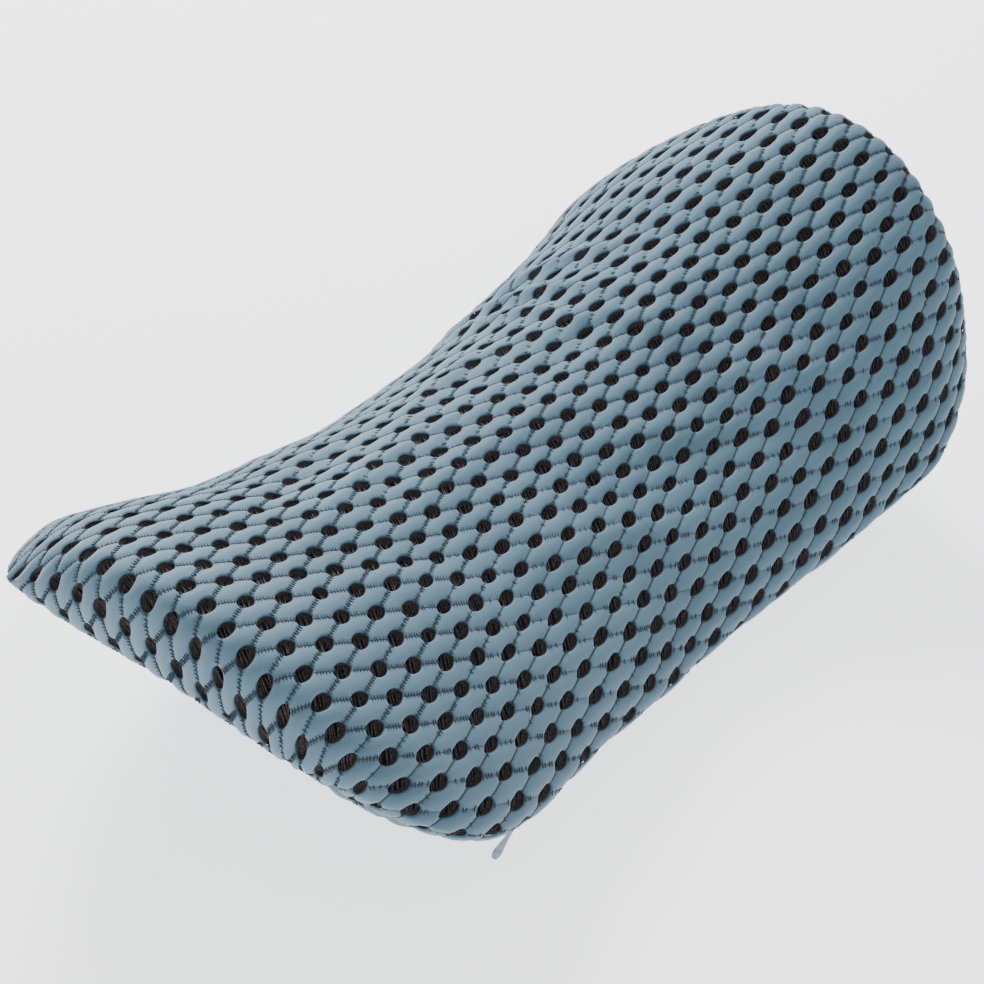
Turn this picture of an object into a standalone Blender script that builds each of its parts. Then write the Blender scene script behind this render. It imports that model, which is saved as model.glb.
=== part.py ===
"""Lumbar support cushion: a saddle-shaped pillow in a zipped cover of open spacer mesh.

The cushion lies on a flat stretch of its base. Its ends curl up, its top is an arch across the
width, and the seam between the two cover panels runs round the lower edge. The zip closes that
seam along one long side. The seam is an arc of a circle there, so the slider travels by turning
about the centre of that arc. Metres, +Z up, origin on the floor under the middle of the cushion,
+X along the length, and the zip on the -Y side.
"""

import math

import bmesh
import bpy
from mathutils import Matrix, Vector

# The rim is the widest line of the cushion. Its long sides are arcs of a circle in a plane that
# leans outwards, so the cushion is widest at its raised ends.
HALF_LENGTH = 0.2447
HALF_WIDTH = 0.1161  # at the waist
TAPER = 0.0608  # growth of the half width per metre towards +X
ARC_RADIUS = 0.450
ARC_LEAN = math.radians(18)
ARC_END = 0.172  # the rim is that arc as far as this, each way from the middle
RIM_HEIGHT = 0.022  # of the rim above the floor, at the waist
TIP_RISE = 0.007  # further rise of the rim from the arc's end to the tip
END_ARCH = 0.006  # how much higher the middle of an end is than its corners

CORNER_NEAR_LEFT = (0.032, 1.35)  # radius and roundness of the corner at -X, +Y
CORNER_NEAR_RIGHT = (0.0915, 1.8)  # at -X, -Y, where the zip ends
CORNER_FAR = (0.088, 1.75)  # both corners at +X
END_SKEW = 0.216  # how far the -X end leans out of square

CROWN_WAIST = 0.0555  # height of the arch above the rim
CROWN_NEAR = 0.0548
CROWN_FAR = 0.089
CROWN_POWERS = (2.17, 0.81)
CROWN_LEAN = 0.087  # how far the arch's top leans towards +Y, as a share of the half width
END_POWER = 26

BELLY_WAIST = 0.025  # depth of the base below the rim, before the floor flattens it
BELLY_TIP = 0.018
EDGE_WIDTH = 0.034  # width of the rounded lower edge
SEAM_ANGLE = math.radians(36)  # place of the seam round the lower edge, down from the rim
RIM_SHARE = 0.8  # share of the upper panel's rows that lie above the rim

COVER_WALL = 0.003
LINER_INSET = 0.0088
LINER_WALL = 0.0008
FILLING_INSET = 0.0128
GAP = 0.0004

# The zip's section: B runs across the zip, upwards, and N out of it, both from the seam.
ZIP_FACE = math.radians(63.3)  # turn of N from the arc's own outward direction to the zip's
ZIP_END = 0.158  # half of the zip's span along X
SLOT = (0.0042, -0.0075, 0.012)  # half width, then lowest and highest N
TEETH = (0.0006, 0.0019, -0.0048, -0.0026)  # nearest and furthest B, lowest and highest N
TAPE = (0.0006, 0.0043, -0.0064, -0.0058)
STOP = (0.0006, 0.0022, -0.0048, -0.0022)
STOP_LENGTH = 0.0020
SLIDER_LENGTH = 0.0090
SLIDER_HALF_WIDTH = 0.0034
SLIDER_PLATE = (-0.0022, -0.0008)  # N of the outer plate
SLIDER_SKIRT = -0.0047
SLIDER_KEEL = (-0.0079, -0.0067)  # N of the inner plate
BRIDGE_LENGTH = 0.0056
BRIDGE_HALF_WIDTH = 0.0006
BRIDGE_TOP = (0.0012, 0.0022)  # N of the bar that the pull hangs on
PULL_LENGTH = 0.0265
PULL_THICKNESS = 0.0012
PULL_EYE = (0.0023, 0.0012)  # half width of the eye's ring outside and of its hole
PULL_NECK = 0.0009
PULL_BLADE = 0.0021

COVER_GRID = (30, 20)  # faces along the length and across the width
INNER_GRID = (24, 16)
SWEEP_STEP = math.radians(1.5)
SHARP_ANGLE = math.radians(40)
WELD = 0.00002

SEAM = EDGE_WIDTH * (1 - math.cos(SEAM_ANGLE))  # how far in under the rim the seam lies


def rim_rise(u):
    """Rise of the rim along its leaning plane, from the waist to the station u."""
    return ARC_RADIUS - math.sqrt(ARC_RADIUS**2 - u * u)


def beyond_arc(u):
    """0 as far as the end of the arc, 1 at the tip."""
    return max(abs(u) - ARC_END, 0.0) / (HALF_LENGTH - ARC_END)


def side_width(u):
    return HALF_WIDTH + TAPER * u + math.sin(ARC_LEAN) * rim_rise(u)


def half_width(u, side):
    """Half width of the rim at the station u, on the +Y or the -Y side, with its corner rounded."""
    if u > 0:
        radius, power = CORNER_FAR
    else:
        radius, power = CORNER_NEAR_LEFT if side > 0 else CORNER_NEAR_RIGHT
    into = min(max((abs(u) - HALF_LENGTH + radius) / radius, 0.0), 1.0)
    return side_width(u) - radius * (1 - (1 - into**power) ** (1 / power))


def rim_level(u, v):
    """Height of the rim's surface over the floor at a point of the plan."""
    along = (u / HALF_LENGTH) ** 2
    across = 1 - (v / side_width(u)) ** 2
    rise = math.cos(ARC_LEAN) * rim_rise(u) + TIP_RISE * beyond_arc(u) ** 2
    return RIM_HEIGHT + rise + END_ARCH * along * across


def plan_point(a, b, inset):
    """(u, v) of a point whose a and b run from -1 to 1 over the plan, drawn in by the inset."""
    u = a * (HALF_LENGTH - inset)
    left = half_width(a * HALF_LENGTH, 1) - inset
    right = half_width(a * HALF_LENGTH, -1) - inset
    return u, (left - right) / 2 + (left + right) / 2 * b


def placed(u, v, z):
    """The point, moved along X by the skew of the -X end."""
    lean = END_SKEW * v * beyond_arc(u) ** 1.5 if u < 0 else 0.0
    return Vector((u - lean, v, z))


def upper_point(a, b, inset=0.0):
    """A point of the arched top."""
    u, v = plan_point(a, b, inset)
    tip = CROWN_FAR if a > 0 else CROWN_NEAR
    crown = CROWN_WAIST + (tip - CROWN_WAIST) * a * a - inset
    power, shoulder = CROWN_POWERS
    leant = abs(b - CROWN_LEAN * (1 - b * b))
    ends = math.sqrt(max(1 - abs(a) ** END_POWER, 0.0))
    arch = max(1 - leant**power, 0.0) ** shoulder * ends
    return placed(u, v, rim_level(u, v) + crown * arch)


def lower_edge(distance, width):
    """Depth of the rounded lower edge as a share of the belly, at a distance in from the rim."""
    return math.sqrt(1 - (1 - distance / width) ** 2) if distance < width else 1.0


def lower_point(a, b, inset=0.0):
    """A point of the base, whose edge is rounded and whose middle is flattened by the floor."""
    u, v = plan_point(a, b, inset)
    belly = BELLY_WAIST + (BELLY_TIP - BELLY_WAIST) * min(beyond_arc(u), 1.0) - inset
    from_end = (1 - abs(a)) * HALF_LENGTH
    from_side = (1 - abs(b)) * HALF_WIDTH
    depth = lower_edge(from_end, EDGE_WIDTH - inset) * lower_edge(from_side, EDGE_WIDTH - inset)
    return placed(u, v, max(rim_level(u, v) - belly * depth, inset))


def ease(share):
    """Crowds rows and columns towards the rim, where the surface turns fastest."""
    return math.sin(share * math.pi / 2)


def rim_direction(p, q):
    """(ring, a, b): the square ring that a grid point lies on, and the rim point it looks towards."""
    ring = max(abs(p), abs(q))
    if ring == 0:
        return 0.0, 0.0, 0.0
    return ring, ease(p / ring), ease(q / ring)


def upper_sheet(reach, inset):
    """The arched top, carried round the edge until it lies that far in under the rim."""

    def point(p, q):
        ring, a, b = rim_direction(p, q)
        if ring <= RIM_SHARE:
            out = ease(ring / RIM_SHARE)
            return upper_point(a * out, b * out, inset)
        under = (ring - RIM_SHARE) / (1 - RIM_SHARE) * reach
        return lower_point(a * (1 - under / HALF_LENGTH), b * (1 - under / HALF_WIDTH), inset)

    return point


def base_sheet(start, inset):
    """The base, from that far in under the rim."""

    def point(p, q):
        ring, a, b = rim_direction(p, q)
        out = ease(ring)
        return lower_point(a * out * (1 - start / HALF_LENGTH), b * out * (1 - start / HALF_WIDTH), inset)

    return point


def material(name, colour, roughness, metallic=0.0):
    made = bpy.data.materials.new(name)
    made.use_nodes = True
    shader = made.node_tree.nodes["Principled BSDF"]
    shader.inputs["Base Color"].default_value = (*colour, 1.0)
    shader.inputs["Roughness"].default_value = roughness
    shader.inputs["Metallic"].default_value = metallic
    return made


def add_object(name, bm, collection, look=None):
    """A smooth-shaded object of the bmesh, with its faces outwards."""
    mesh = bpy.data.meshes.new(name)
    bm.to_mesh(mesh)
    bm.free()
    obj = bpy.data.objects.new(name, mesh)
    collection.objects.link(obj)
    if look:
        mesh.materials.append(look)
    mesh.shade_smooth()
    mesh.set_sharp_from_angle(angle=SHARP_ANGLE)
    return obj


def lay_grid(bm, point, columns, rows, outwards):
    """Adds a grid whose corners run from -1 to 1, laid on a surface."""
    laid = bmesh.ops.create_grid(bm, x_segments=columns, y_segments=rows, size=1.0)["verts"]
    for vertex in laid:
        vertex.co = point(vertex.co.x, vertex.co.y)
    if not outwards:
        bmesh.ops.reverse_faces(bm, faces=list({face for vertex in laid for face in vertex.link_faces}))


def add_panel(name, sheet, border, inset, wall, grid, collection, look):
    """A fabric panel: an outer and an inner grid, closed along the border."""
    top = sheet is upper_sheet
    bm = bmesh.new()
    lay_grid(bm, sheet(border, inset), *grid, top)
    lay_grid(bm, sheet(border, inset + wall), *grid, not top)
    bmesh.ops.bridge_loops(bm, edges=[edge for edge in bm.edges if edge.is_boundary])
    return add_object(name, bm, collection, look)


def add_filling(name, inset, grid, collection, look):
    """The stuffing: a top and a base grid that meet under the seam."""
    bm = bmesh.new()
    lay_grid(bm, upper_sheet(SEAM, inset), *grid, True)
    lay_grid(bm, base_sheet(SEAM, inset), *grid, False)
    bmesh.ops.remove_doubles(bm, verts=bm.verts[:], dist=WELD)
    return add_object(name, bm, collection, look)


def zip_frame():
    """World frame at the centre of the seam's arc: +X down to the seam at the waist, +Z along its axis.

    A turn about +Z carries the slider towards +X of the world.
    """
    along = Vector((1, -TAPER, 0)).normalized()
    down = Vector((0, math.sin(ARC_LEAN), -math.cos(ARC_LEAN)))
    down = (down - down.dot(along) * along).normalized()
    axis = down.cross(along)
    lowest = Vector((0, SEAM - HALF_WIDTH, RIM_HEIGHT - BELLY_WAIST * math.sin(SEAM_ANGLE)))
    centre = lowest - ARC_RADIUS * down
    return Matrix.Translation(centre) @ Matrix((down, along, axis)).transposed().to_4x4()


def section_point(across, out):
    """(radius, height) about the arc's axis of a point of the zip's section."""
    radius = ARC_RADIUS - across * math.sin(ZIP_FACE) + out * math.cos(ZIP_FACE)
    return radius, across * math.cos(ZIP_FACE) + out * math.sin(ZIP_FACE)


def on_the_seam():
    """Frame on the seam as the arc's centre sees it: +X along the zip, +Y across it, +Z out of it."""
    outward = Vector((math.cos(ZIP_FACE), 0, math.sin(ZIP_FACE)))
    travel = Vector((0, 1, 0))
    place = Matrix((travel, outward.cross(travel), outward)).transposed().to_4x4()
    place.translation = Vector((ARC_RADIUS, 0, 0))
    return place


def add_swept(name, section, start, end, collection, look=None):
    """A strip of rectangular section, (nearest and furthest across, lowest and highest out)."""
    near, far, low, high = section
    bm = bmesh.new()
    corners = ((near, low), (far, low), (far, high), (near, high))
    places = [section_point(*corner) for corner in corners]
    first = Matrix.Rotation(start, 4, "Z")
    face = bm.faces.new([bm.verts.new(first @ Vector((radius, 0, height))) for radius, height in places])
    steps = max(1, round((end - start) / SWEEP_STEP))
    parts = [face, *face.edges, *face.verts]
    bmesh.ops.spin(bm, geom=parts, cent=(0, 0, 0), axis=(0, 0, 1), angle=end - start, steps=steps)
    bmesh.ops.recalc_face_normals(bm, faces=bm.faces[:])
    obj = add_object(name, bm, collection, look)
    obj.matrix_world = zip_frame()
    return obj


def joined_boxes(name, boxes, collection, look):
    """One body of overlapping boxes, each (x low, x high, y low, y high, z low, z high)."""
    bodies = []
    for x0, x1, y0, y1, z0, z1 in boxes:
        bm = bmesh.new()
        size = Matrix.Diagonal((x1 - x0, y1 - y0, z1 - z0, 1))
        middle = Matrix.Translation(((x0 + x1) / 2, (y0 + y1) / 2, (z0 + z1) / 2))
        bmesh.ops.create_cube(bm, size=1.0, matrix=middle @ size)
        bodies.append(bm)
    obj = add_object(name, bodies[0], collection, look)
    for index, bm in enumerate(bodies[1:]):
        piece = add_object(f"{name}_block_{index}", bm, helpers)
        join = obj.modifiers.new(piece.name, "BOOLEAN")
        join.operation = "UNION"
        join.solver = "EXACT"
        join.object = piece
        piece.parent = obj
    return obj


def cut(obj, cutter):
    slot = obj.modifiers.new("slot", "BOOLEAN")
    slot.operation = "DIFFERENCE"
    slot.solver = "EXACT"
    slot.object = cutter


def pull_outline():
    """Half widths of the pull at distances down from the bridge: neck, then a long teardrop."""
    points = []
    steps = 14
    start = PULL_EYE[0] * 0.9
    for step in range(steps + 1):
        share = step / steps
        down = start + (PULL_LENGTH - start) * ease(share)
        blade = (PULL_BLADE - PULL_NECK) * math.sin(math.pi * share**1.5) ** 2
        tip = math.sqrt(max(1 - share**6, 0.0))
        points.append((down, (PULL_NECK + blade) * tip))
    return points


def add_pull(name, frame, collection, look):
    """A flat pull with a round eye at the origin, hanging along -Y of its own frame."""
    curve = bpy.data.curves.new(name, "CURVE")
    curve.dimensions = "2D"
    curve.fill_mode = "BOTH"
    curve.extrude = PULL_THICKNESS / 2
    ring, hole = PULL_EYE
    sides = pull_outline()
    opening = math.acos(min(sides[0][0] / ring, 1.0))
    arc_steps = 16
    arc = []
    for step in range(arc_steps + 1):
        angle = -math.pi / 2 + opening + (2 * math.pi - 2 * opening) * step / arc_steps
        arc.append((ring * math.cos(angle), ring * math.sin(angle)))
    left = [(-half, -down) for down, half in sides[1:]]
    right = [(half, -down) for down, half in reversed(sides[1:-1])]
    circle_steps = 20
    eye = []
    for step in range(circle_steps):
        angle = 2 * math.pi * step / circle_steps
        eye.append((hole * math.cos(angle), hole * math.sin(angle)))
    for points in (arc + left + right, eye):
        spline = curve.splines.new("POLY")
        spline.points.add(len(points) - 1)
        for place, (x, y) in zip(spline.points, points):
            place.co = (x, y, 0, 1)
        spline.use_cyclic_u = True
    obj = bpy.data.objects.new(name, curve)
    collection.objects.link(obj)
    curve.materials.append(look)
    obj.matrix_world = frame
    return obj


for old in list(bpy.data.objects):
    bpy.data.objects.remove(old, do_unlink=True)

cushion = bpy.data.collections.new("lumbar_support_cushion")
helpers = bpy.data.collections.new("cutters")
for group in (cushion, helpers):
    bpy.context.scene.collection.children.link(group)
helpers.hide_render = True

mesh_blue = material("mesh_blue", (0.17, 0.26, 0.32), 0.85)
liner_black = material("liner_black", (0.02, 0.021, 0.023), 0.9)
foam_grey = material("foam_grey", (0.6, 0.6, 0.58), 0.95)
tape_blue = material("tape_blue", (0.12, 0.18, 0.22), 0.8)
nylon_blue = material("nylon_blue", (0.2, 0.29, 0.34), 0.45)
painted_metal = material("painted_metal", (0.32, 0.42, 0.48), 0.35, 0.6)

above_seam = SEAM - GAP / 2
below_seam = SEAM + GAP / 2
upper_cover = add_panel(
    "cover_upper_panel", upper_sheet, above_seam, 0.0, COVER_WALL, COVER_GRID, cushion, mesh_blue
)
base_cover = add_panel(
    "cover_base_panel", base_sheet, below_seam, 0.0, COVER_WALL, COVER_GRID, cushion, mesh_blue
)
add_panel(
    "liner_upper_panel", upper_sheet, above_seam, LINER_INSET, LINER_WALL, INNER_GRID, cushion, liner_black
)
add_panel(
    "liner_base_panel", base_sheet, below_seam, LINER_INSET, LINER_WALL, INNER_GRID, cushion, liner_black
)
add_filling("filling", FILLING_INSET, INNER_GRID, cushion, foam_grey)

zip_half = math.asin(ZIP_END / ARC_RADIUS)
stop_turn = STOP_LENGTH / ARC_RADIUS
gap_turn = GAP / ARC_RADIUS
slot_half, slot_low, slot_high = SLOT
slot = add_swept(
    "zip_slot",
    (-slot_half, slot_half, slot_low, slot_high),
    -zip_half - 2 * gap_turn,
    zip_half + 2 * gap_turn,
    helpers,
)
for helper in helpers.objects:
    helper.hide_render = True
    helper.display_type = "WIRE"
cut(upper_cover, slot)
cut(base_cover, slot)

for side, name in ((1, "upper"), (-1, "lower")):
    for section, part, look, inner in (
        (TAPE, "tape", tape_blue, 0.0),
        (TEETH, "teeth", nylon_blue, stop_turn + gap_turn),
    ):
        near, far, low, high = section
        across = sorted((near * side, far * side))
        add_swept(
            f"zip_{part}_{name}",
            (*across, low, high),
            -zip_half + inner,
            zip_half - inner,
            cushion,
            look,
        )
    near, far, low, high = STOP
    across = sorted((near * side, far * side))
    add_swept(
        f"zip_top_stop_{name}", (*across, low, high), -zip_half, stop_turn - zip_half, cushion, painted_metal
    )
add_swept(
    "zip_bottom_stop", (-STOP[1], STOP[1], STOP[2], STOP[3]), zip_half - stop_turn, zip_half, cushion, painted_metal
)

slider_half = SLIDER_LENGTH / 2
slider_angle = -zip_half + stop_turn + 2 * gap_turn + slider_half / ARC_RADIUS
carrier = bpy.data.objects.new("slider_carrier", None)
cushion.objects.link(carrier)
carrier.matrix_world = zip_frame() @ Matrix.Rotation(slider_angle, 4, "Z")
slider_place = carrier.matrix_world @ on_the_seam()
wing = SLIDER_HALF_WIDTH
skirt = TEETH[1] + GAP
keel_half = TEETH[0] - 0.0003
post = BRIDGE_LENGTH / 2
slider_blocks = [
    (-slider_half, slider_half, -wing, wing, *SLIDER_PLATE),
    (-slider_half, slider_half, skirt, wing, SLIDER_SKIRT, SLIDER_PLATE[1] - 0.0002),
    (-slider_half, slider_half, -wing, -skirt, SLIDER_SKIRT, SLIDER_PLATE[1] - 0.0002),
    (-slider_half * 0.9, slider_half * 0.9, -wing * 0.9, wing * 0.9, *SLIDER_KEEL),
    (-slider_half * 0.3, slider_half * 0.6, -keel_half, keel_half, SLIDER_KEEL[0] + 0.0002, SLIDER_PLATE[1] - 0.0004),
    (-post, -post + 0.0010, -BRIDGE_HALF_WIDTH, BRIDGE_HALF_WIDTH, SLIDER_PLATE[0] + 0.0004, BRIDGE_TOP[1] - 0.0001),
    (post - 0.0010, post, -BRIDGE_HALF_WIDTH, BRIDGE_HALF_WIDTH, SLIDER_PLATE[0] + 0.0004, BRIDGE_TOP[1] - 0.0001),
    (-post - 0.0001, post + 0.0001, -BRIDGE_HALF_WIDTH - 0.0001, BRIDGE_HALF_WIDTH + 0.0001, *BRIDGE_TOP),
]
slider = joined_boxes("zip_slider", slider_blocks, cushion, painted_metal)
slider.parent = carrier
slider.matrix_basis = on_the_seam()

# The pull hangs straight down from the bar of the slider's bridge and swings about it.
travel = slider_place.to_3x3().col[0].normalized()
up = (Vector((0, 0, 1)) - travel.z * travel).normalized()
pull_place = Matrix((up.cross(travel), up, travel)).transposed().to_4x4()
pull_place.translation = slider_place @ Vector((0, 0, sum(BRIDGE_TOP) / 2))
add_pull("zip_pull", pull_place, cushion, painted_metal)
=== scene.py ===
"""Looks of the lumbar support cushion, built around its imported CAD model.

The cover is a spacer mesh: a puffed face layer with oval holes on a lattice, dark spacer yarns in
the holes, and a dark back layer. Its surface is that of the CAD cover, repeated here as numpy
functions. Fabric places are (s, t): metres along the length and across the width of the fabric,
from the middle of the panel.
"""

import math

import bmesh
import bpy
import numpy as np
from mathutils import Matrix, Vector


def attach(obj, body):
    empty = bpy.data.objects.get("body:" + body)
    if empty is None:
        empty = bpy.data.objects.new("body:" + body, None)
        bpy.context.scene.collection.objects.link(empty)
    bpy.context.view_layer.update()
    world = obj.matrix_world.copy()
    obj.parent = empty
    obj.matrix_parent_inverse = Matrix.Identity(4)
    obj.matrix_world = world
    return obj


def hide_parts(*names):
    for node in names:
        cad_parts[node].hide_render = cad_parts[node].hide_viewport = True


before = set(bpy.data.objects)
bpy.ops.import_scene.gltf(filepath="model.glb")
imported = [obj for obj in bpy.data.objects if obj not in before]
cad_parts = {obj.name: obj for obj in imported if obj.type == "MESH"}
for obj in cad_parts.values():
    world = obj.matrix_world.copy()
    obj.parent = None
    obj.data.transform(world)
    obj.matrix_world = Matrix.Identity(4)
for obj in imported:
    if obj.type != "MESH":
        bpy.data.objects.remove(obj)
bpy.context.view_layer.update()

# The CAD cover's own sizes, as its source names them.
HALF_LENGTH = 0.2447
HALF_WIDTH = 0.1161
TAPER = 0.0608
ARC_RADIUS = 0.450
ARC_LEAN = math.radians(18)
ARC_END = 0.172
RIM_HEIGHT = 0.022
TIP_RISE = 0.007
END_ARCH = 0.006
CORNER_NEAR_LEFT = (0.032, 1.35)
CORNER_NEAR_RIGHT = (0.0915, 1.8)
CORNER_FAR = (0.088, 1.75)
END_SKEW = 0.216
CROWN_WAIST = 0.0555
CROWN_NEAR = 0.0548
CROWN_FAR = 0.089
CROWN_POWERS = (2.17, 0.81)
CROWN_LEAN = 0.087
END_POWER = 26
BELLY_WAIST = 0.025
BELLY_TIP = 0.018
EDGE_WIDTH = 0.034
SEAM_ANGLE = math.radians(36)
SEAM = EDGE_WIDTH * (1 - math.cos(SEAM_ANGLE))
ZIP_FACE = math.radians(63.3)
ZIP_END = 0.158
TEETH = (0.0006, 0.0019, -0.0048, -0.0026)

# The mesh's lattice: a hole at every (i, j), columns PITCH_S apart and staggered by half a PITCH_T.
PITCH_S = 0.0182
PITCH_T = 0.0148
HOLE = (0.0053, 0.0038)  # half lengths of a hole along and across
PUFF = 0.0011  # height of the pads between the holes
FACE_DROP = 0.0012  # the face layer's valleys lie this far inside the CAD surface
# How each panel's fabric is drawn over the filling. Lengths are metres of cover for each metre of
# slack fabric; bows, fans and eases are how those change with each metre from the lattice's middle.
TAUT = {
    "middle": 0.012,  # where the lattice's middle lies along the cushion
    "along": 0.97,
    "across": 0.92,
    "lean": 0.03,  # of the columns of holes
    "column_bow": -0.30,  # the columns bow towards the near end
    "column_fan": -0.13,
    "ease_along": -0.09,
    "row_bow": -0.17,
    "row_fan": 0.16,
    "ease_across": -0.25,
}
FLAT = dict.fromkeys(TAUT, 0.0) | {"along": 1.0, "across": 1.0}
ZIP_LIP = 0.0043  # how far the fabric stops short of the seam along the zip
SLIDER_ROOM = 0.0095  # the spacer yarns end this far short of the seam, where the slider runs
SLIDER_HALF = 0.010  # how far the slider reaches past the zip's end
MESH_DEPTH = 0.0042  # of the back layer under the face layer

# The tables that lay the fabric over a panel.
ROUND = 1440  # steps round the outline
IN_STEPS = 140  # steps from the middle out to the border
UNDER_STEPS = 36  # steps from the border on, under the rim
UNDER_REACH = 0.09  # how far out those reach, the border being 1
BEYOND = 0.1  # metres that out covers for each 1 beyond the border
LINES, LINE_STEPS = 120, 240  # lines along the cushion, and the steps of a line
STATIONS = 200  # lines across the cushion
LAST_LINE = 0.996  # share of the width that the outermost line keeps


# ---------------------------------------------------------------- the cushion's surface


def rim_rise(u):
    return ARC_RADIUS - np.sqrt(ARC_RADIUS**2 - u * u)


def beyond_arc(u):
    return np.maximum(np.abs(u) - ARC_END, 0.0) / (HALF_LENGTH - ARC_END)


def side_width(u):
    return HALF_WIDTH + TAPER * u + math.sin(ARC_LEAN) * rim_rise(u)


def half_width(u, side):
    near = CORNER_NEAR_LEFT if side > 0 else CORNER_NEAR_RIGHT
    radius = np.where(u > 0, CORNER_FAR[0], near[0])
    power = np.where(u > 0, CORNER_FAR[1], near[1])
    into = np.clip((np.abs(u) - HALF_LENGTH + radius) / radius, 0.0, 1.0)
    return side_width(u) - radius * (1 - (1 - into**power) ** (1 / power))


def rim_level(u, v):
    along = (u / HALF_LENGTH) ** 2
    across = 1 - (v / side_width(u)) ** 2
    rise = math.cos(ARC_LEAN) * rim_rise(u) + TIP_RISE * beyond_arc(u) ** 2
    return RIM_HEIGHT + rise + END_ARCH * along * across


def plan_point(a, b, inset):
    u = a * (HALF_LENGTH - inset)
    left = half_width(a * HALF_LENGTH, 1) - inset
    right = half_width(a * HALF_LENGTH, -1) - inset
    return u, (left - right) / 2 + (left + right) / 2 * b


def placed(u, v, z):
    lean = np.where(u < 0, END_SKEW * v * beyond_arc(u) ** 1.5, 0.0)
    return np.stack([u - lean, v, z], -1)


def arch_point(a, b, inset=0.0):
    u, v = plan_point(a, b, inset)
    tip = np.where(a > 0, CROWN_FAR, CROWN_NEAR)
    crown = CROWN_WAIST + (tip - CROWN_WAIST) * a * a - inset
    power, shoulder = CROWN_POWERS
    ends = np.sqrt(np.maximum(1 - np.abs(a) ** END_POWER, 0.0))
    leant = np.abs(b - CROWN_LEAN * (1 - b * b))
    arch = np.maximum(1 - leant**power, 0.0) ** shoulder * ends
    return placed(u, v, rim_level(u, v) + crown * arch)


def lower_edge(distance, width):
    share = 1 - np.clip(distance / width, 0.0, 1.0)
    return np.sqrt(1 - share**2)


def base_point(a, b, inset=0.0):
    u, v = plan_point(a, b, inset)
    belly = BELLY_WAIST + (BELLY_TIP - BELLY_WAIST) * np.minimum(beyond_arc(u), 1.0) - inset
    from_end = (1 - np.abs(a)) * HALF_LENGTH
    from_side = (1 - np.abs(b)) * HALF_WIDTH
    depth = lower_edge(from_end, EDGE_WIDTH - inset) * lower_edge(from_side, EDGE_WIDTH - inset)
    return placed(u, v, np.maximum(rim_level(u, v) - belly * depth, inset))


def smooth(value, low, high):
    share = np.clip((value - low) / (high - low), 0.0, 1.0)
    return share * share * (3 - 2 * share)


def over(a, b):
    """How far past the border, in metres, the place (a, b) lies."""
    return np.maximum((np.abs(a) - 1) * HALF_LENGTH, (np.abs(b) - 1) * HALF_WIDTH)


def drawn_in(a, b, distance):
    a, b = np.clip(a, -1, 1), np.clip(b, -1, 1)
    return a * (1 - distance / HALF_LENGTH), b * (1 - distance / HALF_WIDTH)


def upper_surface(a, b, inset=0.0):
    """The top. Past 1, a and b carry on round the edge, under the rim."""
    past = np.maximum(over(a, b), 0.0)
    top = arch_point(np.clip(a, -1, 1), np.clip(b, -1, 1), inset)
    under = base_point(*drawn_in(a, b, past), inset)
    return np.where((past > 0)[..., None], under, top)


def base_surface(a, b, inset=0.0):
    """The base, from the seam inwards. Past 1, a and b carry on up to the rim."""
    past = np.maximum(over(a, b), 0.0)
    start = np.maximum(SEAM - past, 0.0)
    return base_point(*drawn_in(a, b, start), inset)


def across_share(u, v):
    """b of a place in plan."""
    left, right = half_width(u, 1), half_width(u, -1)
    return np.clip((v - (left - right) / 2) / np.maximum((left + right) / 2, 1e-6), -1, 1)


def outline():
    """The rim in plan, anticlockwise from the middle of the far end, evenly spaced: places and normals."""
    u = HALF_LENGTH * np.sin(np.linspace(-np.pi / 2, np.pi / 2, 3001))
    left = np.column_stack([u, half_width(u, 1)])[::-1]
    right = np.column_stack([u, -half_width(u, -1)])
    corners = np.concatenate([[[HALF_LENGTH, 0]], left, right, [[HALF_LENGTH, 0]]])
    steps = np.linalg.norm(np.diff(corners, axis=0), axis=1)
    total = np.concatenate([[0], np.cumsum(steps)])
    at = np.linspace(0, total[-1], ROUND + 1)
    places = np.column_stack([np.interp(at, total, corners[:, k]) for k in range(2)])
    along = np.roll(places[:-1], -3, 0) - np.roll(places[:-1], 3, 0)
    kernel = np.ones(9) / 9
    smoothed = [np.convolve(np.tile(row, 3), kernel, "same") for row in along.T]
    along = np.column_stack([row[ROUND : 2 * ROUND] for row in smoothed])
    along /= np.linalg.norm(along, axis=1, keepdims=True)
    normals = np.column_stack([along[:, 1], -along[:, 0]])
    return places, np.concatenate([normals, normals[:1]])


def lookup(table, rows, columns):
    """Values between the entries of a table at fractional rows and columns."""
    rows = np.clip(rows, 0, table.shape[0] - 1.0001)
    columns = np.clip(columns, 0, table.shape[1] - 1.0001)
    r, c = rows.astype(int), columns.astype(int)
    fr, fc = rows - r, columns - c
    if table.ndim == 3:
        fr, fc = fr[..., None], fc[..., None]
    upper = table[r, c] * (1 - fc) + table[r, c + 1] * fc
    lower = table[r + 1, c] * (1 - fc) + table[r + 1, c + 1] * fc
    return upper * (1 - fr) + lower * fr


def lengths_from_zero(points, nodes):
    """Length along each row of points, from where its node value is 0."""
    steps = np.linalg.norm(np.diff(points, axis=1), axis=2)
    total = np.concatenate([np.zeros((len(points), 1)), np.cumsum(steps, axis=1)], axis=1)
    middle = np.array([np.interp(0.0, node, row) for node, row in zip(nodes, total)])
    return total - middle[:, None]


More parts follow.
